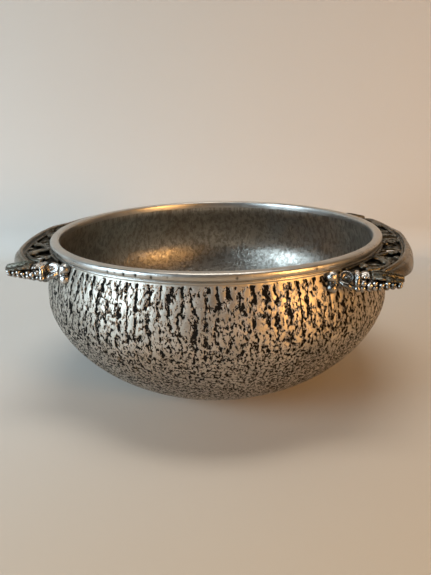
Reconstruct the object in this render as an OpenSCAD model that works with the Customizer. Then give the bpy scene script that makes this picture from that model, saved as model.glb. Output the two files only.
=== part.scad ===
// Shaving bowl in hammered pewter: a full-bellied bowl with a rolled rim and two cast
// grapevine handles soldered under the rim. Origin at the middle of the flat foot, +Z up,
// handles on the X axis. Each handle is a smooth outer rail whose two ends run in behind a
// wing: end knob, stem cup, collar, boss, grape bunch and vine leaf, with openwork vine
// panels between the wings, the rail and the bowl's wall, and a slot between the two panels.

/* [Bowl] */
// Outside diameter over the rolled rim
rim_d = 120; // [116:1:124]
// Height from the table to the top of the rim
bowl_h = 56; // [54:0.5:58]
// Widest diameter of the belly
belly_d = 125.2; // [124.6:0.2:127]
// Height of the widest point above the table
belly_z = 34.5; // [33:0.5:36]
// Diameter of the flat that the bowl stands on
foot_d = 46; // [40:1:52]
// Thickness of the wall
wall = 1.8; // [1.4:0.1:2.2]
// Fullness of the lower curve, 1 is a straight cone and 2 an ellipse
fullness = 1.65; // [1.5:0.05:1.9]

/* [Rim] */
// Width of the rolled rim, inside to outside
rim_w = 2.9; // [2.5:0.1:3.4]
// Height of the roll that shows above the bowl's neck
rim_t = 2.4; // [2:0.1:2.8]
// How far the thin lip under the roll stands out from the neck
lip_w = 0.7; // [0.4:0.1:1]
// Height of the thin lip
lip_t = 1.2; // [0.8:0.1:1.6]

/* [Handle rail] */
// Reach of a rail's outer foot from the bowl's axis
rail_reach = 70; // [69:0.2:71]
// Distance of the rail arc's centre behind the bowl's axis
rail_back = 26.5; // [22:0.5:30]
// Height of the rail
rail_h = 7; // [6:0.2:7.4]
// Thickness of the rail
rail_t = 2; // [1.8:0.1:2.4]
// How far the rail's foot stands out past its top
rail_flare = 2; // [1.6:0.2:2.6]
// Radius of the bead along the rail's inner top edge
bead_r = 0.8; // [0.6:0.1:1]

/* [Handle wings] */
// Distance of a wing's centre line from the bowl's X axis
wing_y = 44; // [43:0.5:45]
// Depth of the wing from the bowl's axis side to its front
wing_w = 7; // [6:0.5:8]
// Length of the slot between a handle's two panels
gap_len = 5; // [4:0.5:8]
// Length of the grape bunch
bunch_len = 12.2; // [11:0.2:13]
// Radius of the thickest grapes
grape_r = 1.05; // [0.9:0.05:1.2]

/* [Hidden] */
$fn = 48;
fine = 128;
profile_steps = 22;
neck_steps = 7;
neck_z = bowl_h - rim_t - lip_t;      // the neck is straight from here up to the roll
neck_top = bowl_h - rim_t;
neck_r = rim_d / 2 - 1.3;
foot_r = foot_d / 2;
belly_r = belly_d / 2;

wing_top = bowl_h - 2.5;              // top of the knob, collar and leaf, just under the roll
wing_mid = bowl_h - 5.1;
wing_low = bowl_h - 9.2;
wing_back = wing_y - wing_w / 2;      // plane where the rail and the panel meet the wing
knob_x = 40.8;
knob_r = 1.95;
cup_x0 = knob_x + 1.5;
cup_x1 = cup_x0 + 4.1;
collar_t = 1.6;
collar_x1 = cup_x1 + collar_t;
boss_w = 3.1;
leaf_x0 = collar_x1 + boss_w;
wing_x1 = collar_x1 + bunch_len;
leaf_t = 2;
bunch_top = wing_top - leaf_t - 0.5;

rail_top = bowl_h - 2;
rail_out = rail_reach + rail_back;
panel_t = 2.6;
panel_top = bowl_h - 2.8;
// x, y and radius of each pierced opening in a front panel
pierced = [[62, -8.5, 1.7], [60.2, -18, 2.3], [57, -27, 2.2], [53, -34.5, 2]];

// Outer curve of the bowl: a full lower curve, then a slight turn in to the neck
function lower_point(a) = [
    foot_r + (belly_r - foot_r) * pow(sin(a), 2 / fullness),
    belly_z - belly_z * pow(cos(a), 2 / fullness)
];
function upper_point(t) = [
    belly_r - (belly_r - neck_r) * t * t,
    belly_z + (neck_z - belly_z) * t
];
outer_curve = concat(
    [for (i = [0 : profile_steps]) lower_point(90 * i / profile_steps)],
    [for (i = [1 : neck_steps]) upper_point(i / neck_steps)]
);
last = len(outer_curve) - 1;

// Inner curve: each point moved in by the wall, square to the outer curve
function unit(v) = v / norm(v);
function along(i) = unit(outer_curve[min(i + 1, last)] - outer_curve[max(i - 1, 0)]);
function inner_point(i) = outer_curve[i] + wall * [-along(i)[1], along(i)[0]];
inner_floor_r = foot_r - 0.6;
inner_curve = concat(
    [[0, wall], [inner_floor_r, wall]],
    [for (i = [2 : last]) inner_point(i)],
    [[neck_r - wall, neck_top]]
);

// Everything inside the bowl's outer surface and the rim's lip, used to seat the handles
module bowl_outline() {
    rotate_extrude($fn = fine)
        polygon(concat(
            [[0, 0]],
            outer_curve,
            [[neck_r + lip_w, neck_z], [neck_r + lip_w, neck_top], [0, neck_top]]
        ));
}

module bowl_shell() {
    color([0.62, 0.60, 0.57])
        rotate_extrude($fn = fine)
            polygon(concat(
                outer_curve,
                [[neck_r, neck_top]],
                [for (i = [len(inner_curve) - 1 : -1 : 0]) inner_curve[i]],
                [[0, 0]]
            ));
}

// Rolled rim: a rounded bar on top of the neck with a thin lip round the outside below it
module rim_roll() {
    round_r = 1.1;
    color([0.70, 0.68, 0.64])
        rotate_extrude($fn = fine) {
            intersection() {
                union() {
                    translate([rim_d / 2 - round_r, neck_top + round_r]) circle(r = round_r);
                    translate([rim_d / 2 - rim_w + round_r, bowl_h - round_r]) circle(r = round_r);
                    translate([rim_d / 2 - round_r, bowl_h - round_r]) circle(r = round_r);
                    translate([rim_d / 2 - rim_w + round_r, neck_top])
                        square([rim_w - 2 * round_r, rim_t]);
                    translate([rim_d / 2 - rim_w, neck_top])
                        square([rim_w, rim_t - round_r]);
                }
                translate([rim_d / 2 - rim_w, neck_top]) square([rim_w, rim_t]);
            }
            translate([neck_r, neck_z]) square([lip_w, lip_t]);
        }
}

// Places its children on one handle and one end: side 1 is +X, end -1 is the front
module at_end(side, end) {
    mirror([side < 0 ? 1 : 0, 0, 0])
        mirror([0, end > 0 ? 1 : 0, 0])
            children();
}

// Cross-section of the rail, with a half-round bead on its inner top edge
bead_c = [rail_out - rail_flare - rail_t + 0.2, rail_top - bead_r + 0.4];
bead_arc = [for (a = [250 : -20 : 10]) bead_c + bead_r * [cos(a), sin(a)]];
rail_section = concat(
    [[rail_out - rail_t, rail_top - rail_h]],
    bead_arc,
    [
        [rail_out - rail_flare - 0.4, rail_top - 0.2],
        [rail_out - 1.1, rail_top - 2.4],
        [rail_out - 0.2, rail_top - 4.6],
        [rail_out, rail_top - rail_h]
    ]
);

// The smooth outer band, clipped where its ends run in behind the wings
module rail() {
    color([0.45, 0.42, 0.38])
        intersection() {
            translate([-rail_back, 0, 0])
                rotate([0, 0, -30])
                    rotate_extrude(angle = 60, $fn = fine) polygon(rail_section);
            translate([0, -wing_back, 0])
                cube([rail_reach + 1, 2 * wing_back, bowl_h]);
        }
}

// Openwork vine panel between the wall, the wing and the rail, drawn for the front end
module panel() {
    rail_in = bead_c[0] - bead_r;
    color([0.30, 0.28, 0.26])
        difference() {
            intersection() {
                translate([-rail_back, 0, panel_top - panel_t])
                    cylinder(h = panel_t, r = rail_in, $fn = fine);
                translate([38, -wing_back, panel_top - panel_t - 1])
                    cube([rail_reach, wing_back - gap_len / 2, panel_t + 2]);
            }
            bowl_outline();
            for (hole = pierced)
                translate([hole[0], hole[1], panel_top - panel_t - 1])
                    cylinder(h = panel_t + 2, r = hole[2]);
        }
}

// Two-lobed knob that ends the stem against the wall
module knob() {
    color([0.62, 0.60, 0.58])
        difference() {
            intersection() {
                union() {
                    translate([knob_x, -wing_y, wing_top - knob_r]) sphere(r = knob_r);
                    translate([knob_x, -wing_y, wing_top - 2.3 * knob_r]) sphere(r = knob_r);
                }
                translate([knob_x - 5, -wing_y - 5, wing_low])
                    cube([cup_x0 - knob_x + 5, 10, wing_top - wing_low]);
            }
            bowl_outline();
        }
}

// Small dished cup on the stem, open to the front
module cup() {
    cup_r = 2.2;
    cup_x = (cup_x0 + cup_x1) / 2;
    color([0.55, 0.52, 0.48])
        difference() {
            intersection() {
                translate([cup_x, -wing_y, wing_mid]) rotate([90, 0, 0]) {
                    translate([0, 0, -1.2]) cylinder(h = 2.4, r = cup_r - 0.1);
                    rotate_extrude() translate([cup_r - 0.8, 0.6]) circle(r = 0.8);
                }
                translate([cup_x0, -wing_y - 3, wing_low])
                    cube([cup_x1 - cup_x0, 6, wing_top - wing_low]);
            }
            translate([cup_x, -wing_y - 2.6, wing_mid]) sphere(r = 2);
        }
}

// Collar that closes the stem before the fruit
module collar() {
    collar_h = wing_top - wing_low;
    color([0.62, 0.60, 0.58])
        intersection() {
            translate([cup_x1, -wing_y, wing_low + collar_h / 2]) rotate([0, 90, 0])
                cylinder(h = collar_t, r = collar_h / 2 + 0.4);
            translate([cup_x1 - 1, -wing_back - wing_w, wing_low])
                cube([collar_t + 2, wing_w, collar_h]);
        }
}

// Round boss between the collar and the leaf
module boss() {
    color([0.62, 0.60, 0.58])
        intersection() {
            translate([collar_x1 + boss_w / 2, -wing_y - 0.6, bunch_top + 0.7]) sphere(r = 1.8);
            translate([collar_x1, -wing_y - 4, bunch_top]) cube([boss_w, 8, 4]);
        }
}

// Bunch of grapes that tapers outwards, under the leaf
module bunch() {
    rows = 3;
    row_gap = 3;
    core_r = 2;
    tip_r = 1.5;
    color([0.55, 0.52, 0.49])
        intersection() {
            union() {
                hull() {
                    translate([collar_x1 + core_r - 0.3, -wing_y, bunch_top - core_r + 0.3])
                        sphere(r = core_r, $fn = 16);
                    translate([wing_x1 - tip_r - 0.4, -wing_y, bunch_top - tip_r - 0.2])
                        sphere(r = tip_r, $fn = 16);
                }
                for (i = [0 : rows], j = [-1 : 1])
                    translate([
                        collar_x1 + grape_r + 0.2 + i * row_gap,
                        -wing_y + j * (2.1 - 0.2 * i),
                        bunch_top - 2.2 + 0.35 * i - 0.9 * (1 - abs(j))
                    ]) sphere(r = grape_r, $fn = 10);
            }
            translate([collar_x1, -wing_back - wing_w, wing_low])
                cube([bunch_len, wing_w, bunch_top - wing_low]);
        }
}

// Vine leaf that covers the bunch, with raised ribs along it
module leaf() {
    leaf_len = wing_x1 - leaf_x0;
    half = wing_w / 2;
    color([0.33, 0.31, 0.28])
        intersection() {
            union() {
                translate([leaf_x0, -wing_y, bunch_top])
                    linear_extrude(height = leaf_t)
                        polygon([
                            [0, -half * 0.5], [leaf_len * 0.3, -half], [leaf_len * 0.65, -half * 0.85],
                            [leaf_len, -half * 0.2], [leaf_len * 0.95, half * 0.55],
                            [leaf_len * 0.8, half], [0, half]
                        ]);
                for (j = [-1 : 1])
                    translate([leaf_x0, -wing_y + j * 1.7, bunch_top + leaf_t])
                        rotate([0, 90, 0]) cylinder(h = leaf_len - 1.6, r = 0.5);
            }
            translate([leaf_x0, -wing_back - wing_w, bunch_top]) cube([leaf_len, wing_w, 4]);
        }
}

bowl_shell();
rim_roll();
at_end(1, -1) rail();  // right_rail
at_end(-1, -1) rail();  // left_rail
at_end(1, -1) panel();  // right_front_panel
at_end(1, 1) panel();  // right_rear_panel
at_end(-1, -1) panel();  // left_front_panel
at_end(-1, 1) panel();  // left_rear_panel
at_end(1, -1) knob();  // right_front_knob
at_end(1, 1) knob();  // right_rear_knob
at_end(-1, -1) knob();  // left_front_knob
at_end(-1, 1) knob();  // left_rear_knob
at_end(1, -1) cup();  // right_front_cup
at_end(1, 1) cup();  // right_rear_cup
at_end(-1, -1) cup();  // left_front_cup
at_end(-1, 1) cup();  // left_rear_cup
at_end(1, -1) collar();  // right_front_collar
at_end(1, 1) collar();  // right_rear_collar
at_end(-1, -1) collar();  // left_front_collar
at_end(-1, 1) collar();  // left_rear_collar
at_end(1, -1) boss();  // right_front_boss
at_end(1, 1) boss();  // right_rear_boss
at_end(-1, -1) boss();  // left_front_boss
at_end(-1, 1) boss();  // left_rear_boss
at_end(1, -1) bunch();  // right_front_bunch
at_end(1, 1) bunch();  // right_rear_bunch
at_end(-1, -1) bunch();  // left_front_bunch
at_end(-1, 1) bunch();  // left_rear_bunch
at_end(1, -1) leaf();  // right_front_leaf
at_end(1, 1) leaf();  // right_rear_leaf
at_end(-1, -1) leaf();  // left_front_leaf
at_end(-1, 1) leaf();  // left_rear_leaf
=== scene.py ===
import math

import bpy
import numpy as np
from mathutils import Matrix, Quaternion, Vector


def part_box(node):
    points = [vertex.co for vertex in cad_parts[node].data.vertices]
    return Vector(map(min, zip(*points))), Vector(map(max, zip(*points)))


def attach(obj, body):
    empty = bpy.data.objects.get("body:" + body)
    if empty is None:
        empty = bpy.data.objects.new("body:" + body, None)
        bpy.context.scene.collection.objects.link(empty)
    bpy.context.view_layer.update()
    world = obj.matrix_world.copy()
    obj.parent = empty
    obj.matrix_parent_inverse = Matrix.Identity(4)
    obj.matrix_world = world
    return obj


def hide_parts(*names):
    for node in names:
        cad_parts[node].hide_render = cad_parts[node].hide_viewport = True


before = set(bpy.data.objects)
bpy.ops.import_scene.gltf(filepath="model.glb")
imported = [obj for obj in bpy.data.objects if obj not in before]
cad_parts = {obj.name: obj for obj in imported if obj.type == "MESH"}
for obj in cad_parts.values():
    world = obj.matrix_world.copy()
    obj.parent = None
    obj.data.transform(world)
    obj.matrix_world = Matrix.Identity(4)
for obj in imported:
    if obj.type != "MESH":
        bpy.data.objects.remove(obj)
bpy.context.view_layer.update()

mm = 0.001

# where things are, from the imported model, in millimetres
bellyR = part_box("bowl_shell")[1].x / mm
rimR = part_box("rim_roll")[1].x / mm
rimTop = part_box("rim_roll")[1].z / mm
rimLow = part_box("rim_roll")[0].z / mm
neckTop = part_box("bowl_shell")[1].z / mm
print("frame loaded: bowl", round(bellyR * 2, 1), "mm across, rim top at", round(rimTop, 1), "mm")


def at(x, y, z):
    return Vector((x * mm, y * mm, z * mm))


def onlySelect(ob):
    bpy.ops.object.select_all(action="DESELECT")
    ob.select_set(True)
    bpy.context.view_layer.objects.active = ob


def applyModifiers(ob):
    onlySelect(ob)
    for modifier in list(ob.modifiers):
        bpy.ops.object.modifier_apply(modifier=modifier.name)


def settle(ob):
    # the piece's place goes into its mesh, so that the object sits at the origin
    onlySelect(ob)
    bpy.ops.object.transform_apply(location=True, rotation=True, scale=True)


def joinAll(name, pieces):
    bpy.ops.object.select_all(action="DESELECT")
    for ob in pieces:
        ob.select_set(True)
    bpy.context.view_layer.objects.active = pieces[0]
    bpy.ops.object.join()
    pieces[0].name = name
    settle(pieces[0])
    return pieces[0]


def selectFaces(ob, test):
    # picks faces by their place and normal, then opens edit mode on them
    onlySelect(ob)
    bpy.ops.object.mode_set(mode="EDIT")
    bpy.ops.mesh.select_mode(type="FACE")
    bpy.ops.mesh.select_all(action="DESELECT")
    bpy.ops.object.mode_set(mode="OBJECT")
    for face in ob.data.polygons:
        face.select = test(face.center / mm, face.normal)
    bpy.ops.object.mode_set(mode="EDIT")


def smoothAll(ob):
    onlySelect(ob)
    bpy.ops.object.shade_smooth()


def cutAway(ob, place, facing):
    # what lies past a plane goes, and the cut is closed
    onlySelect(ob)
    bpy.ops.object.mode_set(mode="EDIT")
    bpy.ops.mesh.select_all(action="SELECT")
    bpy.ops.mesh.bisect(plane_co=place, plane_no=facing, use_fill=True, clear_outer=True)
    bpy.ops.object.mode_set(mode="OBJECT")


def addModifier(ob, kind, **settings):
    made = ob.modifiers.new(kind.lower(), kind)
    for key, value in settings.items():
        setattr(made, key, value)
    return made


def fuse(ob, voxel, smooth=0):
    # one closed skin over overlapping parts, as a casting has
    addModifier(ob, "REMESH", mode="VOXEL", voxel_size=voxel * mm, use_smooth_shade=True)
    if smooth:
        addModifier(ob, "SMOOTH", factor=0.5, iterations=smooth)
    applyModifiers(ob)
    smoothAll(ob)
    return ob


def outwards(ob):
    onlySelect(ob)
    bpy.ops.object.mode_set(mode="EDIT")
    bpy.ops.mesh.select_all(action="SELECT")
    bpy.ops.mesh.normals_make_consistent(inside=False)
    bpy.ops.object.mode_set(mode="OBJECT")


def latheLoop(name, section, steps, start=0.0, sweep=math.tau, centreX=0.0):
    # a ring of vertices is laid out as the cross-section, then spun about the upright axis
    bpy.ops.object.select_all(action="DESELECT")
    bpy.ops.mesh.primitive_circle_add(vertices=len(section), radius=0.01)
    ob = bpy.context.object
    ob.name = name
    for vertex, (r, z) in zip(ob.data.vertices, section):
        vertex.co = at(centreX + r * math.cos(start), r * math.sin(start), z)
    bpy.ops.object.mode_set(mode="EDIT")
    bpy.ops.mesh.select_all(action="SELECT")
    bpy.ops.mesh.spin(steps=steps, angle=-sweep, center=at(centreX, 0, 0), axis=(0, 0, 1))
    bpy.ops.mesh.select_all(action="SELECT")
    bpy.ops.mesh.remove_doubles(threshold=0.004 * mm)
    bpy.ops.mesh.delete_loose(use_verts=True, use_edges=True, use_faces=False)
    bpy.ops.mesh.select_all(action="SELECT")
    bpy.ops.mesh.normals_make_consistent(inside=False)
    bpy.ops.object.mode_set(mode="OBJECT")
    smoothAll(ob)
    return ob


def rounded(corners, times=3):
    # cuts the corners of a closed outline again and again until it runs smoothly
    for _ in range(times):
        cut = []
        for (r0, z0), (r1, z1) in zip(corners, corners[1:] + corners[:1]):
            cut.append((0.75 * r0 + 0.25 * r1, 0.75 * z0 + 0.25 * z1))
            cut.append((0.25 * r0 + 0.75 * r1, 0.25 * z0 + 0.75 * z1))
        corners = cut
    return corners


def places(ob):
    # every vertex in millimetres, one row each
    flat = np.empty(len(ob.data.vertices) * 3)
    ob.data.vertices.foreach_get("co", flat)
    return flat.reshape(-1, 3) / mm


def moveAll(ob, x, y, z):
    ob.data.vertices.foreach_set("co", (np.stack([x, y, z], axis=1) * mm).ravel())


def setAttribute(ob, name, values):
    vector = values.ndim == 2
    made = ob.data.attributes.new(name, "FLOAT_VECTOR" if vector else "FLOAT", "POINT")
    made.data.foreach_set("vector" if vector else "value", np.ascontiguousarray(values).ravel())


# node helpers, the same for shader and geometry trees
def addNode(tree, kind, **settings):
    node = tree.nodes.new(kind)
    for key, value in settings.items():
        setattr(node, key, value)
    return node


def feed(tree, socket, value):
    if isinstance(value, bpy.types.NodeSocket):
        tree.links.new(value, socket)
    else:
        socket.default_value = value


def maths(tree, operation, *values):
    node = addNode(tree, "ShaderNodeMath", operation=operation)
    for socket, value in zip(node.inputs, values):
        feed(tree, socket, value)
    return node.outputs[0]


def spread(tree, value, low, high, toLow=0.0, toHigh=1.0, smooth=False):
    node = addNode(tree, "ShaderNodeMapRange", interpolation_type="SMOOTHSTEP" if smooth else "LINEAR")
    for socket, number in zip(node.inputs, (value, low, high, toLow, toHigh)):
        feed(tree, socket, number)
    return node.outputs[0]


def noise(tree, vector, scale=1.0, detail=2.0, roughness=0.5, distortion=0.0):
    node = addNode(tree, "ShaderNodeTexNoise")
    feed(tree, node.inputs["Vector"], vector)
    node.inputs["Scale"].default_value = scale
    node.inputs["Detail"].default_value = detail
    node.inputs["Roughness"].default_value = roughness
    node.inputs["Distortion"].default_value = distortion
    return node.outputs[0]


def blendColours(tree, factor, first, second):
    node = addNode(tree, "ShaderNodeMix", data_type="RGBA")
    feed(tree, node.inputs[0], factor)
    for socket, colour in ((node.inputs[6], first), (node.inputs[7], second)):
        feed(tree, socket, colour if isinstance(colour, bpy.types.NodeSocket) else (*colour, 1.0))
    return node.outputs[2]


def objectPlace(tree):
    return addNode(tree, "ShaderNodeTexCoord").outputs["Object"]


def ownAttribute(tree, name, output):
    return addNode(tree, "ShaderNodeAttribute", attribute_name=name).outputs[output]


def splitVector(tree, vector):
    node = addNode(tree, "ShaderNodeSeparateXYZ")
    feed(tree, node.inputs[0], vector)
    return node.outputs


view = {
    "turn": 9.0,           # degrees that the camera stands round towards the right handle
    "distance": 0.186, "height": 0.0953,
    "pitch": 0.3298, "yaw": -0.0028, "roll": 0.0186,   # in radians
    "lens": 31.3, "sensor": 36.0, "nearest": 0.005,
}


def makeCamera():
    turn = math.radians(view["turn"])
    cam = bpy.data.objects.new("camera", bpy.data.cameras.new("camera"))
    bpy.context.collection.objects.link(cam)
    away = view["distance"]
    cam.location = (away * math.sin(turn), -away * math.cos(turn), view["height"])
    ahead = turn - view["yaw"]
    forward = Vector((-math.sin(ahead) * math.cos(view["pitch"]),
                      math.cos(ahead) * math.cos(view["pitch"]), -math.sin(view["pitch"])))
    cam.rotation_mode = "QUATERNION"
    cam.rotation_quaternion = Quaternion(forward, view["roll"]) @ forward.to_track_quat("-Z", "Y")
    cam.data.lens = view["lens"]
    cam.data.sensor_width = view["sensor"]
    cam.data.clip_start = view["nearest"]
    bpy.context.scene.camera = cam


def fromCamera(right, away, up):
    # a place given as the camera sees it, turned into the object's frame
    turn = math.radians(view["turn"])
    return Vector((right * math.cos(turn) - away * math.sin(turn),
                   right * math.sin(turn) + away * math.cos(turn), up))


makeCamera()
print("camera set")


bowl = {
    "footR": 23.0, "bellyZ": 34.5, "neckR": rimR - 1.3,
    "wall": 1.8, "fullness": 1.65,
    # the recess under the foot: radius and height of each step
    "recess": [(0, 0.35), (12, 0.35), (20.6, 0.3), (21.6, 0.06), (22.2, 0)],
    "around": 560, "outerRows": 124, "innerRows": 38,
    "grain": 0.8,          # width of a hammered pit
    "streak": 2.0,         # its length just under the lip
    "fine": 0.85,          # its length from the middle of the body down
    "columns": 116,        # upright streaks round the bowl
    "wander": 5.0,         # length of their wobble
    "sway": 13.0,          # how far they wobble
    "depth": 0.17,         # how deep a pit is pressed in
    "coarse": 1.9,         # how much larger the inside's mottling is
}


def evenly(points, count):
    # the same curve with evenly spaced points, and how far along it each one is
    points = np.array(points)
    far = np.concatenate([[0], np.cumsum(np.hypot(*np.diff(points, axis=0).T))])
    stops = np.linspace(0, far[-1], count)
    return np.interp(stops, far, points[:, 0]), np.interp(stops, far, points[:, 1]), stops


def outerCurve():
    foot, bellyZ, full = bowl["footR"], bowl["bellyZ"], 2 / bowl["fullness"]
    points = []
    for i in range(1201):
        a = math.pi / 2 * i / 1200
        points.append((foot + (bellyR - foot) * math.sin(a) ** full, bellyZ - bellyZ * math.cos(a) ** full))
    for i in range(1, 401):
        t = i / 400
        points.append((bellyR - (bellyR - bowl["neckR"]) * t * t, bellyZ + (rimLow - bellyZ) * t))
    return points


def makeBowl():
    curve = outerCurve()
    steps = np.gradient(np.array(curve), axis=0)
    steps /= np.hypot(steps[:, 0], steps[:, 1])[:, None]
    inner = np.array(curve) + bowl["wall"] * np.stack([-steps[:, 1], steps[:, 0]], axis=1)
    inner = [tuple(p) for p in inner if p[1] > bowl["wall"] + 0.02]
    lipR = bowl["neckR"] - bowl["wall"]
    outR, outZ, _ = evenly(curve + [(bowl["neckR"], neckTop)], bowl["outerRows"])
    inR, inZ, _ = evenly([(18.0, bowl["wall"])] + inner + [(lipR, neckTop)], bowl["innerRows"])
    section = bowl["recess"] + list(zip(outR, outZ)) + [(lipR, neckTop), (lipR, neckTop - 0.1)]
    section += list(zip(inR, inZ))[-2::-1] + [(9, bowl["wall"]), (0, bowl["wall"])]
    ob = latheLoop("bowlShell", section, bowl["around"])

    # how far down the wall each vertex is, and which side of the wall it is on
    x, y, z = places(ob).T
    r = np.hypot(x, y)
    lineR, lineZ, along = evenly(curve + [(bowl["neckR"], neckTop)], 2000)
    down = along[-1] - np.interp(z, lineZ, along) - (neckTop - rimLow)
    outside = np.where((r > np.interp(z, lineZ, lineR) - 0.7) & (z > 0.02), 1.0, 0.0)

    # pits are drawn out under the lip, and shorten to specks lower down
    stops = np.linspace(0, 80, 1601)
    length = bowl["fine"] + (bowl["streak"] - bowl["fine"]) * np.clip(1 - stops / 30, 0, 1) ** 1.3
    phase = np.interp(down, stops, np.cumsum(0.05 / length))
    top = np.clip(1 - down / 26, 0, 1)
    threshold = 0.524 - 0.021 * np.clip(down / 30, 0, 1) + 0.012 * np.clip((down - 34) / 20, 0, 1)
    threshold += 0.5 * np.clip(0.7 - down, 0, 1)
    pull = (0.015 + 0.165 * top) * np.where(outside > 0.5, 1, 0.3 * top ** 4)
    grain = bowl["grain"] * np.where(outside > 0.5, 1, bowl["coarse"])
    strength = outside * np.clip(down * 2, 0, 1) * np.clip(z / 1.5, 0, 1)
    strength *= 1 - 0.2 * np.clip((down - 40) / 30, 0, 1)
    setAttribute(ob, "hammerAt", np.stack([x / grain, y / grain, phase * bowl["grain"] / grain], axis=1))
    turn = np.arctan2(x, -y) * bowl["columns"]
    setAttribute(ob, "columnAt", np.stack([np.cos(turn), np.sin(turn), 0 * turn], axis=1))
    setAttribute(ob, "wanderAt", np.stack([x, y, down * 0.45], axis=1) / bowl["wander"])
    setAttribute(ob, "hammerAmount", np.stack([threshold, pull, strength], axis=1))
    setAttribute(ob, "outside", outside)
    return ob


def hammerField(tree, place, column, wander, pull):
    # small pits, gathered into thin upright streaks as far as pull says
    pits = noise(tree, place, detail=4.0, roughness=0.68, distortion=0.45)
    across, along, _ = splitVector(tree, column)
    sway = maths(tree, "SUBTRACT", noise(tree, wander, detail=3.0, roughness=0.65), 0.5)
    sway = maths(tree, "MULTIPLY", sway, bowl["sway"])
    wave = maths(tree, "MULTIPLY_ADD", across, maths(tree, "COSINE", sway),
                 maths(tree, "MULTIPLY", along, maths(tree, "SINE", sway)))
    streak = spread(tree, wave, -0.15, 1.0, -0.4, 0.85, smooth=True)
    length = spread(tree, noise(tree, wander, scale=2.3, detail=1.0), 0.38, 0.6, 0.25, 1.15)
    return maths(tree, "MULTIPLY_ADD", maths(tree, "MULTIPLY", streak, length), pull, pits)


def dentBowl(ob):
    # the same pits as the finish has, pressed into the mesh
    tree = bpy.data.node_groups.new("hammering", "GeometryNodeTree")
    tree.interface.new_socket("Geometry", in_out="INPUT", socket_type="NodeSocketGeometry")
    tree.interface.new_socket("Geometry", in_out="OUTPUT", socket_type="NodeSocketGeometry")

    def attribute(name):
        node = addNode(tree, "GeometryNodeInputNamedAttribute", data_type="FLOAT_VECTOR")
        node.inputs["Name"].default_value = name
        return node.outputs["Attribute"]

    threshold, pull, strength = splitVector(tree, attribute("hammerAmount"))
    field = hammerField(tree, attribute("hammerAt"), attribute("columnAt"), attribute("wanderAt"), pull)
    over = maths(tree, "SUBTRACT", field, threshold)
    depth = maths(tree, "MULTIPLY", spread(tree, over, -0.03, 0.09, smooth=True), strength)
    push = addNode(tree, "ShaderNodeVectorMath", operation="SCALE")
    feed(tree, push.inputs[0], addNode(tree, "GeometryNodeInputNormal").outputs[0])
    feed(tree, push.inputs["Scale"], maths(tree, "MULTIPLY", depth, -bowl["depth"] * mm))
    move = addNode(tree, "GeometryNodeSetPosition")
    feed(tree, move.inputs["Geometry"], addNode(tree, "NodeGroupInput").outputs[0])
    feed(tree, move.inputs["Offset"], push.outputs[0])
    feed(tree, addNode(tree, "NodeGroupOutput").inputs[0], move.outputs[0])
    addModifier(ob, "NODES", node_group=tree)
    applyModifiers(ob)
    smoothAll(ob)


bowlShell = makeBowl()
dentBowl(bowlShell)
print("bowl spun and hammered:", len(bowlShell.data.polygons), "faces")


rim = {
    "width": 2.9, "lip": 0.7, "around": 480,
    # each nick: degrees round from the front, height, half length in degrees
    "nicks": [(-22, 54.5, 0.45), (-19.2, 54.6, 0.4), (-16.4, 54.5, 0.45), (-12.9, 54.6, 0.5),
              (-8.4, 54.4, 0.35), (-3.5, 54.7, 0.3), (14, 54.5, 0.4), (37, 54.7, 0.4), (-48, 54.6, 0.4),
              (96, 54.6, 0.5), (131, 54.8, 0.4), (168, 54.5, 0.5), (-122, 54.7, 0.5), (-160, 54.6, 0.4)],
    "nickDepth": 0.16, "nickTall": 0.7,
    "groove": 0.16,        # spacing of the fine turning marks
}


def makeRim():
    inside, neck = rimR - rim["width"] - 0.3, bowl["neckR"]
    lip = neck + rim["lip"]
    # inner corner, top, outer roll, then the lip and the side that meets the neck
    section = [(neck - 1.2, neckTop), (neck - 1.2, neckTop - 0.3), (inside, neckTop - 0.3),
               (inside, neckTop - 0.3), (inside, rimTop - 0.7), (inside + 0.5, rimTop),
               (rimR - 0.8, rimTop), (rimR, rimTop - 0.6), (rimR, neckTop + 0.5), (rimR - 0.35, neckTop),
               (lip - 0.28, neckTop - 0.12), (lip - 0.22, neckTop - 0.3), (lip, neckTop - 0.42),
               (lip, rimLow + 0.25), (lip - 0.35, rimLow), (neck, rimLow), (neck, neckTop)]
    ob = latheLoop("rimRoll", rounded(section, 2), rim["around"])
    x, y, z = places(ob).T
    r, angle = np.hypot(x, y), np.degrees(np.arctan2(x, -y))
    nick = np.zeros(len(x))
    for turn, height, half in rim["nicks"]:
        apart = (angle - turn + 180) % 360 - 180
        near = np.exp(-(apart / half) ** 2 - ((z - height) / rim["nickTall"]) ** 2)
        nick = np.maximum(nick, near * (r > rimR - 0.5))
    inwards = 1 - rim["nickDepth"] * nick / r
    moveAll(ob, x * inwards, y * inwards, z)
    setAttribute(ob, "nick", nick)
    turned = [r / rim["groove"], z / rim["groove"], 3 * np.sin(np.radians(angle))]
    setAttribute(ob, "turnedAt", np.stack(turned, axis=1))
    return ob


rimRoll = makeRim()
print("rim rolled:", len(rimRoll.data.polygons), "faces")


def boxOf(node):
    low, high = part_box(node)
    return low / mm, high / mm


railLow, railHigh = boxOf("right_rail")
wingBack = railHigh.y
rail = {
    "back": 26.5,          # the arc's centre lies this far behind the bowl's axis
    "out": railHigh.x + 26.5, "top": railHigh.z - 0.4, "low": railLow.z,
    "flare": 0.9, "thick": 2.0, "bead": 0.6, "steps": 150, "spread": 28,
    # how far it draws in and sinks at its ends, and sinks along its rear half
    "bendFrom": 31, "pull": 3.4, "sink": 1.7, "rearSink": 0.9,
    "narrowFrom": 8, "narrow": 0.48,       # how much of its height goes by the ends
}


def tuck(y):
    near = np.clip((abs(y) - rail["bendFrom"]) / (wingBack - rail["bendFrom"]), 0, 1) ** 2
    return rail["pull"] * near, rail["sink"] * near + rail["rearSink"] * np.clip((y - 3) / 12, 0, 1)


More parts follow.
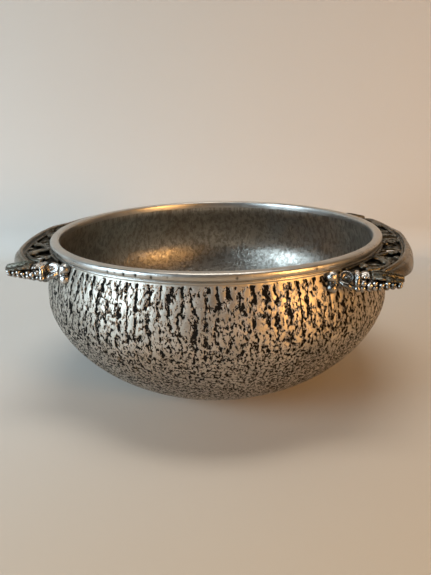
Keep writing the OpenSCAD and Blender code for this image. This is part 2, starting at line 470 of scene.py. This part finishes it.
def makeRail():
    out, top, low, bead = rail["out"], rail["top"], rail["low"], rail["bead"]
    beadR, beadZ = out - rail["flare"] - rail["thick"] + 0.2, top - bead + 0.4
    beadOut = 1.06 * bead
    beadArc = [(beadR + beadOut * math.cos(math.radians(a)), beadZ + beadOut * math.sin(math.radians(a)))
               for a in range(235, -6, -24)]
    section = [(out - rail["thick"] + 0.25, low)] + beadArc + [
        (beadR + bead + 0.1, beadZ - 0.75), (out - 1.2, top - 1.3), (out - 0.55, top - 2.4),
        (out - 0.15, top - 4.0), (out, top - 5.6), (out, low + 0.3), (out - 0.4, low)]
    half = math.radians(rail["spread"])
    ob = latheLoop("rightRail", rounded(section, 2), rail["steps"], -half, 2 * half, -rail["back"])
    for side in (-1, 1):
        cutAway(ob, at(0, side * wingBack, 0), (0, side, 0))
    outwards(ob)
    x, y, z = places(ob).T
    pulled, sunk = tuck(y)
    toEnd = np.clip((abs(y) - rail["narrowFrom"]) / (wingBack - rail["narrowFrom"]), 0, 1)
    moveAll(ob, x - pulled, y, top - (top - z) * (1 - rail["narrow"] * toEnd ** 1.4) - sunk)
    smoothAll(ob)
    bpy.ops.object.shade_smooth_by_angle(angle=math.radians(50))
    return ob


rightRail = makeRail()
print("rail spun:", len(rightRail.data.polygons), "faces")


def ball(x, y, z, r, fine=2, squash=(1, 1, 1)):
    bpy.ops.object.select_all(action="DESELECT")
    bpy.ops.mesh.primitive_ico_sphere_add(subdivisions=fine, radius=r * mm, location=at(x, y, z))
    bpy.context.object.scale = squash
    return bpy.context.object


def tube(points, radii, sides=3):
    # a rod that follows the points, as thick at each one as its radius says
    bpy.ops.object.select_all(action="DESELECT")
    bpy.ops.curve.primitive_bezier_curve_add()
    ob = bpy.context.object
    ob.location = (0, 0, 0)
    line = ob.data
    line.splines.clear()
    spline = line.splines.new("POLY")
    spline.points.add(len(points) - 1)
    for point, place, radius in zip(spline.points, points, radii):
        point.co = (*at(*place), 1)
        point.radius = radius
    line.dimensions = "3D"
    line.bevel_depth = mm
    line.bevel_resolution = sides
    line.use_fill_caps = True
    bpy.ops.object.convert(target="MESH")
    return bpy.context.object


# the right front wing, piece by piece; the other three are copies of it
wingY = (boxOf("right_front_collar")[0].y + boxOf("right_front_collar")[1].y) / 2
knob = {"topR": 1.95, "footR": 1.8, "waistR": 1.35, "hang": 0.6}


def makeKnob():
    low, high = boxOf("right_front_knob")
    x, y, bottom = high.x - 2.1, wingY - 0.5, low.z - knob["hang"]
    top = ball(x, y, high.z - knob["topR"] - 0.1, knob["topR"], 3, (0.96, 1.0, 0.96))
    foot = ball(x + 0.2, y - 0.6, bottom + knob["footR"], knob["footR"], 3)
    waist = ball(x + 0.1, y, (bottom + high.z) / 2, knob["waistR"], 3, (1, 1, 0.7))
    ridge = tube([(x + 0.9, y - 1.2, bottom + 0.8), (x + 1.3, y - 1.0, (bottom + high.z) / 2),
                  (x + 0.9, y - 1.2, high.z - 1.0)], [0.35, 0.5, 0.35])
    return fuse(joinAll("knob", [top, foot, waist, ridge]), 0.14, 3)


cup = {"facing": (0.08, -0.88, 0.45), "hollowR": 1.9, "ledge": [0.5, 0.85, 0.95, 0.7]}


def makeCup():
    low, high = boxOf("right_front_cup")
    x, z = (low.x + high.x) / 2, (low.z + high.z) / 2
    half = (high.x - low.x) / 2
    dish = ball(x, wingY + 0.2, z + 0.5, half * 1.02, 4, (1, 1.1, 0.82))
    settle(dish)
    # the front is cut away and a smaller ball taken out, which leaves a dish with a lip
    cutAway(dish, at(x, wingY - 0.9, z + 0.3), cup["facing"])
    hollow = ball(x + 0.1, wingY - 2.2, z + 1.2, cup["hollowR"], 4, (1.0, 1, 0.75))
    settle(hollow)
    addModifier(dish, "BOOLEAN", operation="DIFFERENCE", object=hollow)
    applyModifiers(dish)
    bpy.data.objects.remove(hollow)
    ledge = tube([(x - half + 0.2, wingY - 1.2, z - 0.5), (x - 0.9, wingY - 1.8, z - 1.1),
                  (x + 0.5, wingY - 2.0, z - 1.6), (x + half - 0.2, wingY - 1.7, z - 2.2)], cup["ledge"])
    seed = ball(x + 0.5, wingY - 0.7, z + 0.5, 0.5, 3, (1.6, 0.7, 0.8))
    return fuse(joinAll("cup", [dish, ledge, seed]), 0.12, 2)


collar = {"thick": 1.35, "edge": 0.5, "buttonR": 0.95}


def makeCollar():
    low, high = boxOf("right_front_collar")
    x, z, r = (low.x + high.x) / 2, (low.z + high.z) / 2, (high.z - low.z) / 2 * 0.97
    bpy.ops.object.select_all(action="DESELECT")
    bpy.ops.mesh.primitive_cylinder_add(vertices=56, radius=r * mm, depth=collar["thick"] * mm,
                                        location=at(x, wingY, z), rotation=(0, math.pi / 2, 0))
    disc = bpy.context.object
    disc.scale = (1, 1.02, 1)
    settle(disc)
    addModifier(disc, "BEVEL", width=collar["edge"] * mm, segments=4, limit_method="ANGLE")
    applyModifiers(disc)
    button = ball(x + 0.1, wingY - 2.5, z - 1.4, collar["buttonR"], 3)
    scroll = tube([(x - 0.4, wingY - 1.6, z + 2.7), (x + 0.2, wingY - 2.4, z + 2.2),
                   (x + 0.3, wingY - 2.8, z + 1.2)], [0.35, 0.45, 0.3])
    return fuse(joinAll("collar", [disc, button, scroll]), 0.14, 2)


boss = {"petals": 7, "petalR": 0.52, "ringR": 0.95, "ringThick": 0.22, "ringTilt": 35}


def makeBoss():
    low, high = boxOf("right_front_boss")
    x, y, z = (low.x + high.x) / 2, wingY - 0.6, (low.z + high.z) / 2 - 0.4
    parts = [ball(x, y, z, 1.0, 3, (1, 1, 0.95))]
    for i in range(boss["petals"]):
        a = math.tau * i / boss["petals"]
        parts.append(ball(x + 1.05 * math.cos(a), y - 0.25 + 1.15 * math.sin(a),
                          z - 0.2 - 0.35 * math.sin(a), boss["petalR"], 2, (1, 1, 0.9)))
    bpy.ops.object.select_all(action="DESELECT")
    bpy.ops.mesh.primitive_torus_add(
        major_radius=boss["ringR"] * mm, minor_radius=boss["ringThick"] * mm,
        location=at(x, y - 0.35, z + 0.45), rotation=(math.radians(boss["ringTilt"]), 0, 0),
        major_segments=28, minor_segments=8)
    parts.append(bpy.context.object)
    seat = ball(x, wingY + 1.2, low.z + 0.9, 1.5, 3, (1, 1.4, 0.6))
    return fuse(joinAll("boss", parts + [seat]), 0.13, 1)


bunch = {
    "stations": 7, "round": 5,             # grapes along the bunch and round it
    "big": 0.98, "small": 0.74,            # their radius at the collar and at the tip
    "core": 2.0, "tip": 1.1,               # how far out they sit, at the collar and at the tip
}


def makeBunch():
    low, high = boxOf("right_front_bunch")
    parts = [ball((low.x + high.x) / 2, wingY, high.z - 1.3, 1, 3, ((high.x - low.x) / 2 * 0.85, 1.5, 1.2))]
    for i in range(bunch["stations"]):
        t = i / (bunch["stations"] - 1)
        r = bunch["big"] + (bunch["small"] - bunch["big"]) * t
        ring = bunch["core"] + (bunch["tip"] - bunch["core"]) * t ** 1.2
        x = low.x + r + (high.x - low.x - 2 * r) * t
        mid = high.z - 1.15 + 0.2 * t
        for k in range(bunch["round"]):
            a = math.radians(176 + (188 / (bunch["round"] - 1)) * k + (9 if i % 2 else -9))
            y = wingY + ring * 1.08 * math.cos(a)
            z = mid + ring * 0.95 * math.sin(a)
            parts.append(ball(x + 0.12 * math.sin(5.1 * k + 2.3 * i), y, max(z, low.z + r),
                              r * (1 + 0.07 * math.sin(3.7 * k + 1.9 * i)), 2))
    parts.append(ball(high.x - 0.75, wingY, high.z - 1.3, 0.78, 2))
    ob = joinAll("bunch", parts)
    smoothAll(ob)
    return ob


leaf = {"lobe": 0.13, "ridge": 0.26, "crown": 1.25, "thick": 0.75}


def leafRise(u):
    # how the leaf rises and falls from the boss to its tip
    return 0.2 * math.sin(2 * math.pi * u) - 0.9 * u ** 3


def makeLeaf():
    low, high = boxOf("right_front_leaf")
    long, half = high.x - low.x, (high.y - low.y) / 2
    bpy.ops.object.select_all(action="DESELECT")
    bpy.ops.mesh.primitive_grid_add(x_subdivisions=54, y_subdivisions=44, size=2 * mm)
    ob = bpy.context.object
    for vertex in ob.data.vertices:
        u, v = min(max(vertex.co.x / mm / 2 + 0.5, 0), 1), vertex.co.y / mm
        lobes = 1 - leaf["lobe"] * abs(math.sin(3.4 * math.pi * u + 0.4)) ** 3
        wide = half * (math.sin(math.pi * (0.2 + 0.72 * u)) ** 0.55) * lobes
        ridges = leaf["ridge"] * math.cos(v * 4.5 * math.pi) * (1 - abs(v) ** 4)
        ridges *= 0.35 + 0.65 * math.sqrt(abs(math.sin(math.pi * u)))
        crown = leaf["crown"] * (1 - v * v) + leafRise(u)
        vertex.co = at(low.x + long * u, wingY + v * wide, low.z + 0.7 + crown + ridges)
    addModifier(ob, "SOLIDIFY", thickness=leaf["thick"] * mm, offset=-1)
    addModifier(ob, "SUBSURF", levels=1, render_levels=1)
    applyModifiers(ob)
    veins = []
    for j in (-1, 0, 1):
        path = [(low.x + long * u, wingY + j * half * 0.42 * math.sin(math.pi * (0.25 + 0.6 * u)),
                 low.z + 0.85 + leaf["crown"] * (1 - (j * 0.42) ** 2) + leafRise(u))
                for u in (0.02, 0.2, 0.4, 0.6, 0.8, 0.95)]
        veins.append(tube(path, [0.34, 0.34, 0.3, 0.28, 0.24, 0.16]))
    return fuse(joinAll("leaf", [ob] + veins), 0.15, 1)


panel = {
    "top": boxOf("right_front_panel")[1].z, "wallR": 59.5,
    # pierced openings: how far along and across the band, half length, half width
    "holes": [(0.86, 0.5, 1.6, 2.0), (0.665, 0.5, 2.6, 3.2),
              (0.36, 0.52, 2.2, 2.0), (0.16, 0.42, 1.7, 2.0)],
    # tendrils: how far along and across, size, turns, first angle, which way they wind
    "curls": [(0.86, 0.52, 1.75, 1.6, 0.5, 1), (0.47, 0.62, 1.7, 1.6, 0.2, 1),
              (0.30, 0.34, 1.6, 1.5, 1.2, -1), (0.20, 0.72, 1.9, 1.6, 2.8, 1),
              (0.07, 0.36, 1.5, 1.3, 4.4, -1)],
    # leaves: how far along and across, size, turn in degrees
    "leaves": [(0.79, 0.16, 1.1, 60), (0.54, 0.24, 1.3, 80), (0.55, 0.8, 1.2, -80), (0.94, 0.2, 1.0, 70),
               (0.38, 0.82, 1.4, -100), (0.40, 0.18, 1.2, 100), (0.27, 0.6, 1.3, 30), (0.14, 0.14, 1.4, 80),
               (0.10, 0.86, 1.5, -80), (0.03, 0.62, 1.5, 90), (0.95, 0.8, 1.0, -50)],
    "plate": 0.8, "edge": 0.55, "beadEdge": 0.5, "end": 0.65,
}


def bandPlace(u, v, lift=0.0):
    # u runs from the wing to the slot, v from the bowl's wall to the rail's bead
    low, high = boxOf("right_front_panel")
    y = low.y + 0.2 + (high.y - low.y - 0.4) * u
    wallX = math.sqrt(panel["wallR"] ** 2 - y * y)
    pulled, sunk = tuck(y)
    beadR = rail["out"] - rail["flare"] - rail["thick"] - 0.4
    railX = -rail["back"] + math.sqrt(beadR ** 2 - y * y) - pulled
    top = panel["top"] - 0.9 - 0.8 * sunk * v
    return wallX + (railX - wallX) * v, y, top + 0.6 * math.sin(math.pi * min(v, 1)) + lift


def curl(u, v, size, turns, start, way):
    # a tendril that winds in on itself
    x, y, z = bandPlace(u, v)
    points, radii = [], []
    steps = int(14 * turns)
    for i in range(steps + 1):
        t = i / steps
        a = start + way * math.tau * turns * t
        r = size * (1 - 0.78 * t)
        points.append((x + r * math.cos(a), y + r * math.sin(a), z + 0.15 + 0.25 * t))
        radii.append(0.42 - 0.12 * t)
    return [tube(points, radii), ball(x, y, z + 0.45, 0.5, 2)]


def smallLeaf(u, v, size, turn):
    x, y, z = bandPlace(u, v, 0.1)
    parts = []
    for spreadTurn, long in ((-50, 0.8), (0, 1.0), (50, 0.8)):
        a = math.radians(turn + spreadTurn)
        across, along = size * math.cos(a), size * math.sin(a)
        lobe = ball(x + 0.55 * across, y + 0.55 * along, z, size * 0.62 * long, 2, (1.25, 0.55, 0.42))
        lobe.rotation_euler = (0, 0, a)
        tip = (x + 1.1 * long * across, y + 1.1 * long * along, z + 0.2)
        parts += [lobe, tube([(x, y, z + 0.25), tip], [0.2, 0.1])]
    return parts


def makePanel():
    # the pierced plate behind the vine
    bpy.ops.object.select_all(action="DESELECT")
    bpy.ops.mesh.primitive_grid_add(x_subdivisions=90, y_subdivisions=30, size=1)
    plate = bpy.context.object
    for vertex in plate.data.vertices:
        vertex.co = at(*bandPlace(vertex.co.x + 0.5, vertex.co.y + 0.5, -1.1))

    def inHole(place, normal):
        for u, v, long, wide in panel["holes"]:
            x, y, _ = bandPlace(u, v)
            if ((place.y - y) / long) ** 2 + ((place.x - x) / wide) ** 2 < 1:
                return True
        return False

    selectFaces(plate, inHole)
    bpy.ops.mesh.delete(type="FACE")
    bpy.ops.object.mode_set(mode="OBJECT")
    addModifier(plate, "SOLIDIFY", thickness=panel["plate"] * mm, offset=0)
    applyModifiers(plate)
    parts = [plate]
    line = [i / 40 for i in range(41)]
    parts.append(tube([bandPlace(u, 0.05, 0.1) for u in line], [panel["edge"]] * len(line)))
    parts.append(tube([bandPlace(u, 0.95, 0.2) for u in line], [panel["beadEdge"]] * len(line)))
    # the stem winds from side to side, and stops at the widest opening
    for stem in (line[:24], line[31:]):
        path = [bandPlace(u, 0.5 + 0.36 * math.sin(2.0 * math.tau * u + 0.3), 0.2 + 0.2 * math.sin(11 * u))
                for u in stem]
        parts.append(tube(path, [0.75 - 0.2 * u for u in stem]))
    parts.append(tube([bandPlace(0.985, v, -0.1) for v in (0, 0.25, 0.5, 0.75, 1)], [panel["end"]] * 5))
    for place in panel["curls"]:
        parts += curl(*place)
    for place in panel["leaves"]:
        parts += smallLeaf(*place)
    return fuse(joinAll("panel", parts), 0.2, 1)


wing = {
    "knob": makeKnob(), "cup": makeCup(), "collar": makeCollar(), "boss": makeBoss(),
    "bunch": makeBunch(), "leaf": makeLeaf(), "panel": makePanel(),
}
for name, ob in wing.items():
    print("wing piece", name, len(ob.data.polygons), "faces")


def mirrored(ob, name, side, end):
    # a copy with its own mesh, turned over to another corner of the bowl
    made = ob.copy()
    made.data = ob.data.copy()
    made.name = name
    bpy.context.collection.objects.link(made)
    made.scale = (side, end, 1)
    settle(made)
    outwards(made)
    return made


sides = {"right": 1, "left": -1}
ends = {"front": 1, "rear": -1}
handlePieces = {}
for sideName, side in sides.items():
    railPiece = mirrored(rightRail, sideName + "Rail", side, 1)
    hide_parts(sideName + "_rail")
    handlePieces.setdefault("rail", []).append(railPiece)
    for endName, end in ends.items():
        for kind, ob in wing.items():
            piece = mirrored(ob, sideName + endName.capitalize() + kind.capitalize(), side, end)
            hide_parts("_".join((sideName, endName, kind)))
            handlePieces.setdefault(kind, []).append(piece)
for ob in [rightRail] + list(wing.values()):
    bpy.data.objects.remove(ob)
print("handles copied to both sides")


def newGroup(name, numbers, outputs):
    # a shader node group with plain number inputs and mask outputs
    tree = bpy.data.node_groups.new(name, "ShaderNodeTree")
    for label, value in numbers.items():
        made = tree.interface.new_socket(label, in_out="INPUT", socket_type="NodeSocketFloat")
        made.default_value = value
    for label in outputs:
        tree.interface.new_socket(label, in_out="OUTPUT", socket_type="NodeSocketFloat")
    return tree, addNode(tree, "NodeGroupInput").outputs, addNode(tree, "NodeGroupOutput").inputs


def groupNode(tree, group, **numbers):
    node = addNode(tree, "ShaderNodeGroup", node_tree=group)
    for label, value in numbers.items():
        node.inputs[label].default_value = value
    return node.outputs


def buildHandling():
    # what use and polishing leave on any of the metal: soft clouds, fine grain, small scratches
    tree, given, gives = newGroup("handling", {"Size": 1.0}, ["Cloud", "Grain", "Scratch"])
    place = addNode(tree, "ShaderNodeVectorMath", operation="SCALE")
    feed(tree, place.inputs[0], objectPlace(tree))
    feed(tree, place.inputs["Scale"], given["Size"])
    spot = place.outputs[0]
    feed(tree, gives["Cloud"], spread(tree, noise(tree, spot, 95, 3.5, 0.6, 0.4), 0.34, 0.66, smooth=True))
    feed(tree, gives["Grain"], spread(tree, noise(tree, spot, 2300, 2.5, 0.65), 0.3, 0.7))
    scratches = []
    for turn, stretch in ((0.5, 0.06), (1.9, 0.09), (2.7, 0.05)):
        turned = addNode(tree, "ShaderNodeMapping")
        feed(tree, turned.inputs["Vector"], spot)
        turned.inputs["Rotation"].default_value = (turn, 0.4 * turn, turn)
        turned.inputs["Scale"].default_value = (1, stretch, 1)
        scratches.append(spread(tree, noise(tree, turned.outputs[0], 2600, 0.0), 0.7, 0.78))
    lines = maths(tree, "MAXIMUM", maths(tree, "MAXIMUM", scratches[0], scratches[1]), scratches[2])
    feed(tree, gives["Scratch"], lines)
    return tree


def buildHollows():
    # 1 where old polish and tarnish sit in the hollows, 0 on what a cloth reaches
    tree, given, gives = newGroup("hollows", {"Reach": 1.0, "Depth": 0.6}, ["Tarnish", "Ridge"])
    shade = addNode(tree, "ShaderNodeAmbientOcclusion", samples=12, only_local=True)
    feed(tree, shade.inputs["Distance"], maths(tree, "MULTIPLY", given["Reach"], mm))
    uneven = maths(tree, "MULTIPLY_ADD", noise(tree, objectPlace(tree), 700, 2.0), 0.35, -0.175)
    open_ = maths(tree, "ADD", shade.outputs["AO"], uneven)
    feed(tree, gives["Tarnish"], spread(tree, open_, given["Depth"], 0.12, smooth=True))
    feed(tree, gives["Ridge"], spread(tree, open_, 0.72, 1.0, smooth=True))
    return tree


handling = buildHandling()
hollows = buildHollows()


def newMaterial(name, settings):
    made = bpy.data.materials.new(name)
    made.use_nodes = True
    made.diffuse_color = (*settings["light"], 1)
    tree = made.node_tree
    return made, tree, tree.nodes["Principled BSDF"]


def roughen(tree, shader, height, depth):
    # height in 0 to 1, depth in millimetres
    bump = addNode(tree, "ShaderNodeBump")
    bump.inputs["Strength"].default_value = 1.0
    bump.inputs["Distance"].default_value = depth * mm
    feed(tree, bump.inputs["Height"], height)
    feed(tree, shader.inputs["Normal"], bump.outputs[0])


hammered = {
    "light": (0.57, 0.52, 0.45), "dull": (0.38, 0.34, 0.285), "pit": (0.006, 0.006, 0.006),
    "inLight": (0.55, 0.515, 0.455), "inDull": (0.18, 0.16, 0.13),
    "gloss": 0.43, "inPolish": 0.15, "relief": 0.16,
}


def hammeredPewter():
    made, tree, shader = newMaterial("hammeredPewter", hammered)
    threshold, pull, strength = splitVector(tree, ownAttribute(tree, "hammerAmount", "Vector"))
    drawn = [ownAttribute(tree, name, "Vector") for name in ("hammerAt", "columnAt", "wanderAt")]
    field = hammerField(tree, *drawn, pull)
    outside = ownAttribute(tree, "outside", "Fac")
    over = maths(tree, "SUBTRACT", field, threshold)
    pits = maths(tree, "MULTIPLY", spread(tree, over, -0.008, 0.014, smooth=True), strength)
    edge = maths(tree, "MULTIPLY", spread(tree, over, -0.09, 0.0, smooth=True), strength)
    mottle = spread(tree, field, 0.42, 0.6, smooth=True)
    wear = groupNode(tree, handling)
    worn = maths(tree, "MULTIPLY_ADD", wear["Cloud"], 0.55, maths(tree, "MULTIPLY", wear["Grain"], 0.45))
    outer = blendColours(tree, worn, hammered["dull"], hammered["light"])
    outer = blendColours(tree, maths(tree, "MULTIPLY", edge, 0.3), outer, hammered["dull"])
    inner = blendColours(tree, maths(tree, "MULTIPLY", mottle, 0.6), hammered["inLight"], hammered["inDull"])
    inner = blendColours(tree, maths(tree, "MULTIPLY", wear["Cloud"], 0.35), inner, hammered["inDull"])
    metal = blendColours(tree, outside, inner, outer)
    metal = blendColours(tree, maths(tree, "MULTIPLY", pits, 0.97), metal, hammered["pit"])
    feed(tree, shader.inputs["Base Color"], metal)
    shader.inputs["Metallic"].default_value = 1.0
    inside = maths(tree, "SUBTRACT", 1.0, outside)
    gloss = maths(tree, "MULTIPLY_ADD", wear["Cloud"], 0.1, hammered["gloss"])
    gloss = maths(tree, "MULTIPLY_ADD", inside, -hammered["inPolish"], gloss)
    feed(tree, shader.inputs["Roughness"], maths(tree, "MULTIPLY_ADD", pits, 0.35, gloss))
    low = maths(tree, "MULTIPLY", spread(tree, over, -0.06, 0.05, smooth=True), strength)
    soft = maths(tree, "MULTIPLY", inside, maths(tree, "MULTIPLY", mottle, 0.25))
    height = maths(tree, "MULTIPLY", wear["Grain"], 0.12)
    height = maths(tree, "SUBTRACT", height, maths(tree, "ADD", low, soft))
    height = maths(tree, "MULTIPLY_ADD", wear["Scratch"], -0.05, height)
    roughen(tree, shader, height, hammered["relief"])
    return made


turnedRim = {
    "light": (0.62, 0.595, 0.55), "dull": (0.42, 0.40, 0.37), "pit": (0.03, 0.028, 0.025),
    "gloss": 0.26, "relief": 0.025,
}


def rimPewter():
    made, tree, shader = newMaterial("rimPewter", turnedRim)
    turned = noise(tree, ownAttribute(tree, "turnedAt", "Vector"), 1, 1.5)
    nick = ownAttribute(tree, "nick", "Fac")
    wear = groupNode(tree, handling)
    hidden = groupNode(tree, hollows, Reach=0.9, Depth=0.62)
    worn = maths(tree, "MULTIPLY_ADD", wear["Cloud"], 0.5, maths(tree, "MULTIPLY", turned, 0.5))
    metal = blendColours(tree, worn, turnedRim["dull"], turnedRim["light"])
    tarnish = maths(tree, "MULTIPLY", hidden["Tarnish"], 0.7)
    dark = maths(tree, "MAXIMUM", spread(tree, nick, 0.25, 0.7), tarnish)
    feed(tree, shader.inputs["Base Color"], blendColours(tree, dark, metal, turnedRim["pit"]))
    shader.inputs["Metallic"].default_value = 1.0
    gloss = maths(tree, "MULTIPLY_ADD", turned, 0.16, turnedRim["gloss"] - 0.05)
    feed(tree, shader.inputs["Roughness"], maths(tree, "MULTIPLY_ADD", wear["Cloud"], 0.08, gloss))
    height = maths(tree, "MULTIPLY_ADD", wear["Scratch"], -0.5, turned)
    height = maths(tree, "MULTIPLY_ADD", wear["Grain"], 0.5, height)
    roughen(tree, shader, height, turnedRim["relief"])
    return made


# reach: how far round a spot is searched for metal that shades it, in millimetres
# depth: how open a spot still counts as a hollow; grain: depth of the bump, in millimetres
# stain: how much of the tint lies over the metal
def castPewter(name, finish):
    # cast and darkened metal, rubbed bright where it stands proud
    made, tree, shader = newMaterial(name, finish)
    wear = groupNode(tree, handling, Size=1.6)
    hidden = groupNode(tree, hollows, Reach=finish["reach"], Depth=finish["depth"])
    rubbed = maths(tree, "MULTIPLY", hidden["Ridge"], maths(tree, "MULTIPLY_ADD", wear["Cloud"], 0.6, 0.4))
    metal = blendColours(tree, rubbed, finish["dull"], finish["light"])
    stained = maths(tree, "MULTIPLY", maths(tree, "SUBTRACT", 1.0, wear["Cloud"]), finish["stain"])
    metal = blendColours(tree, stained, metal, finish["tint"])
    dark = hidden["Tarnish"]
    feed(tree, shader.inputs["Base Color"], blendColours(tree, dark, metal, finish["pit"]))
    shader.inputs["Metallic"].default_value = 1.0
    gloss = maths(tree, "MULTIPLY_ADD", wear["Grain"], 0.12, finish["gloss"] - 0.04)
    gloss = maths(tree, "MULTIPLY_ADD", wear["Cloud"], 0.08, gloss)
    feed(tree, shader.inputs["Roughness"], maths(tree, "MULTIPLY_ADD", dark, 0.25, gloss))
    height = maths(tree, "MULTIPLY_ADD", wear["Cloud"], 0.6, wear["Grain"])
    roughen(tree, shader, maths(tree, "MULTIPLY_ADD", wear["Scratch"], -0.3, height), finish["grain"])
    return made


darkCast = {
    "light": (0.22, 0.20, 0.165), "dull": (0.075, 0.067, 0.05),
    "tint": (0.05, 0.045, 0.028), "pit": (0.004, 0.0038, 0.0035),
    "stain": 0.6, "gloss": 0.25, "reach": 1.5, "depth": 0.84, "grain": 0.04,
}
brightCast = {
    "light": (0.64, 0.62, 0.59), "dull": (0.19, 0.178, 0.16),
    "tint": (0.075, 0.064, 0.048), "pit": (0.004, 0.0038, 0.0035),
    "stain": 0.6, "gloss": 0.17, "reach": 1.9, "depth": 0.84, "grain": 0.035,
}
railCast = {
    "light": (0.30, 0.26, 0.21), "dull": (0.17, 0.145, 0.11),
    "tint": (0.11, 0.09, 0.065), "pit": (0.012, 0.01, 0.008),
    "stain": 0.45, "gloss": 0.24, "reach": 1.2, "depth": 0.7, "grain": 0.02,
}


def finishPiece(ob, material, slot):
    ob.data.materials.clear()
    ob.data.materials.append(material)
    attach(ob, "root")


finishPiece(bowlShell, hammeredPewter(), "hammered_pewter")
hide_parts("bowl_shell")
finishPiece(rimRoll, rimPewter(), "rim_pewter")
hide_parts("rim_roll")
darkMetal = castPewter("darkCastPewter", darkCast)
brightMetal = castPewter("brightCastPewter", brightCast)
railMetal = castPewter("railPewter", railCast)
slots = {"rail": (railMetal, "rail_pewter"), "panel": (darkMetal, "dark_cast_pewter"),
         "leaf": (darkMetal, "dark_cast_pewter")}
for kind, pieces in handlePieces.items():
    for piece in pieces:
        finishPiece(piece, *slots.get(kind, (brightMetal, "bright_cast_pewter")))
print("finishes set")


stage = {
    "edge": 0.17, "wide": 3.0, "near": 1.6, "tall": 1.7, "bend": 0.02, "skew": -2.0,
    # the paint, with painted light on it: a painted pool of warm light near by and to the right, painted
    # shade high up, and a painted cool shade on the wall's right
    "colour": (0.61, 0.595, 0.56), "paintedWarmLight": (0.55, 0.445, 0.32),
    "high": (0.41, 0.395, 0.36), "paintedCoolShade": (0.44, 0.465, 0.48), "rough": 0.75,
}


def makeStage():
    # a pale table top that turns up into a pale wall a little way behind the bowl
    bpy.ops.object.select_all(action="DESELECT")
    bpy.ops.mesh.primitive_plane_add(size=1)
    ob = bpy.context.object
    ob.name = "tableAndWall"
    for vertex in ob.data.vertices:
        vertex.co = (vertex.co.x * stage["wide"], stage["edge"] if vertex.co.y > 0 else -stage["near"], 0)
    bpy.ops.object.mode_set(mode="EDIT")
    bpy.ops.mesh.select_mode(type="EDGE")
    bpy.ops.mesh.select_all(action="DESELECT")
    bpy.ops.object.mode_set(mode="OBJECT")
    for edge in ob.data.edges:
        edge.select = all(ob.data.vertices[i].co.y > 0 for i in edge.vertices)
    bpy.ops.object.mode_set(mode="EDIT")
    bpy.ops.mesh.extrude_region_move(TRANSFORM_OT_translate={"value": (0, 0, stage["tall"])})
    bpy.ops.object.mode_set(mode="OBJECT")
    ob.rotation_euler = (0, 0, math.radians(view["turn"] + stage["skew"]))
    settle(ob)
    addModifier(ob, "BEVEL", width=stage["bend"], segments=10, limit_method="ANGLE")
    applyModifiers(ob)
    smoothAll(ob)
    made = bpy.data.materials.new("palePaintWithPaintedLight")
    made.use_nodes = True
    tree = made.node_tree
    shader = tree.nodes["Principled BSDF"]
    place = objectPlace(tree)
    cloud = spread(tree, noise(tree, place, 6, 3.0), 0.3, 0.7)
    shade = tuple(0.965 * part for part in stage["colour"])
    x, y, z = splitVector(tree, place)
    # painted warm light: the table near by and to the right takes the warm lamp's colour
    near = spread(tree, maths(tree, "SUBTRACT", maths(tree, "MULTIPLY", x, 0.8), y), -0.03, 0.17)
    paintWithPaintedLight = blendColours(tree, near, blendColours(tree, cloud, shade, stage["colour"]), stage["paintedWarmLight"])
    paintWithPaintedLight = blendColours(tree, spread(tree, z, 0.05, 0.26), paintWithPaintedLight, stage["high"])
    # painted shade: the wall turns darker towards its top
    right = maths(tree, "MULTIPLY", spread(tree, x, 0.0, 0.3, 0.0, 0.7), spread(tree, y, 0.1, 0.15))
    # painted cool shade: the wall's right side is darkened and cooled
    paintWithPaintedLight = blendColours(tree, right, paintWithPaintedLight, stage["paintedCoolShade"])
    feed(tree, shader.inputs["Base Color"], paintWithPaintedLight)
    shader.inputs["Roughness"].default_value = stage["rough"]
    # clear from behind and from below, so that it never hides the bowl
    both = addNode(tree, "ShaderNodeMixShader")
    feed(tree, both.inputs[0], addNode(tree, "ShaderNodeNewGeometry").outputs["Backfacing"])
    feed(tree, both.inputs[1], shader.outputs[0])
    feed(tree, both.inputs[2], addNode(tree, "ShaderNodeBsdfTransparent").outputs[0])
    feed(tree, tree.nodes["Material Output"].inputs["Surface"], both.outputs[0])
    ob.data.materials.append(made)


makeStage()


lamps = {
    # how far right, away and up each one hangs, its width and height, watts and colour
    "window": ((-0.80, -0.42, 0.26), (0.42, 0.56), 9.0, (0.66, 0.85, 1.0)),
    "warmLamp": ((0.56, -0.52, 0.16), (0.16, 0.30), 4.0, (1.0, 0.52, 0.17)),
    "ceiling": ((0.0, 0.12, 1.1), (0.7, 0.5), 7.6, (1.0, 0.95, 0.88)),
}
roomLight = {"strength": 0.12, "left": (0.74, 0.80, 0.88), "right": (0.92, 0.70, 0.50)}


def makeLamps():
    for name, (place, size, watts, colour) in lamps.items():
        lamp = bpy.data.lights.new(name, "AREA")
        lamp.shape = "RECTANGLE"
        lamp.size, lamp.size_y = size
        lamp.energy = watts
        lamp.color = colour
        ob = bpy.data.objects.new(name, lamp)
        bpy.context.collection.objects.link(ob)
        ob.location = fromCamera(*place)
        ob.rotation_euler = (Vector((0, 0, 0.03)) - ob.location).to_track_quat("-Z", "Y").to_euler()


makeLamps()
world = bpy.data.worlds.new("room")
bpy.context.scene.world = world
world.use_nodes = True
room = world.node_tree
direction = splitVector(room, addNode(room, "ShaderNodeTexCoord").outputs["Generated"])
room.nodes["Background"].inputs["Strength"].default_value = roomLight["strength"]
feed(room, room.nodes["Background"].inputs["Color"],
     blendColours(room, spread(room, direction[0], -0.7, 0.7), roomLight["left"], roomLight["right"]))
bpy.context.scene.view_settings.view_transform = "Standard"
print("stage and lamps set")


def corners(box):
    return [list(box[0]), list(box[1])]
